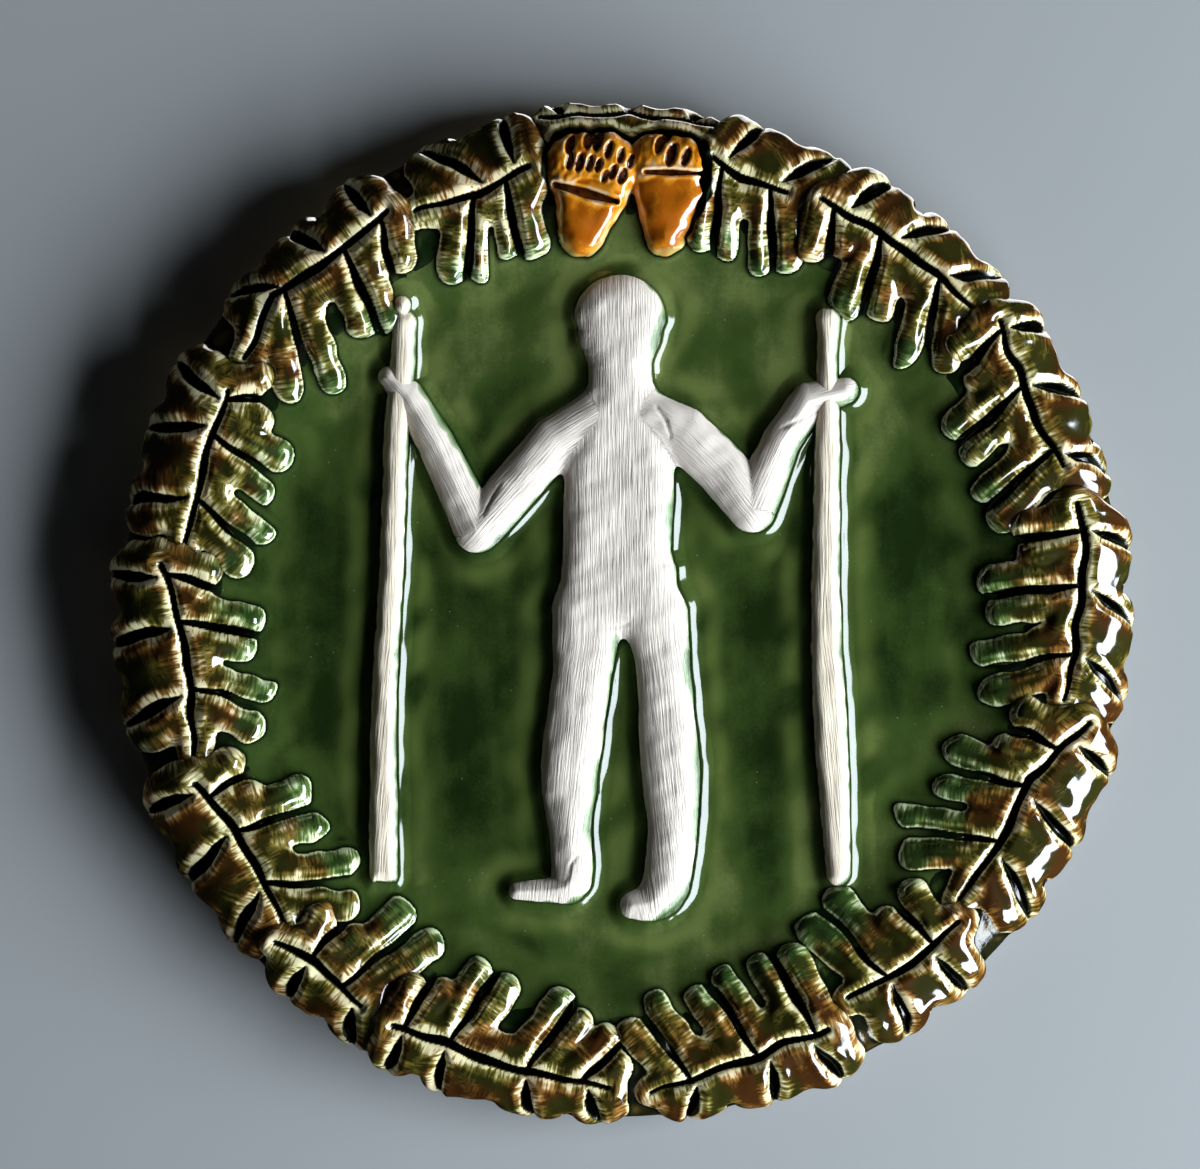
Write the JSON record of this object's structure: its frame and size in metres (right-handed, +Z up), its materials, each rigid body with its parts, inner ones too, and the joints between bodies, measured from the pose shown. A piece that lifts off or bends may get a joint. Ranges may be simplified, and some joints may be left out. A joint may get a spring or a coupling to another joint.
{
  "type": "wall plaque",
  "caption": "Round glazed earthenware wall plaque, carved in relief with a standing figure holding a staff in each hand, in a wreath of oak leaves and acorns.",
  "frame": {"origin": "centre of the flat back face, which lies against the wall", "axes": "+Z up the plaque as it hangs, +X to the viewer's right, +Y into the wall; the face looks along -Y"},
  "size_m": [0.2005, 0.0166, 0.1998],
  "materials": {
    "field_glaze": "gloss",
    "leaf_glaze": "gloss",
    "amber_glaze": "gloss",
    "white_slip": "matte",
    "bare_clay": "matte"
  },
  "bodies": {
    "root": {"plaque": "field_glaze"}
  },
  "joints": []
}
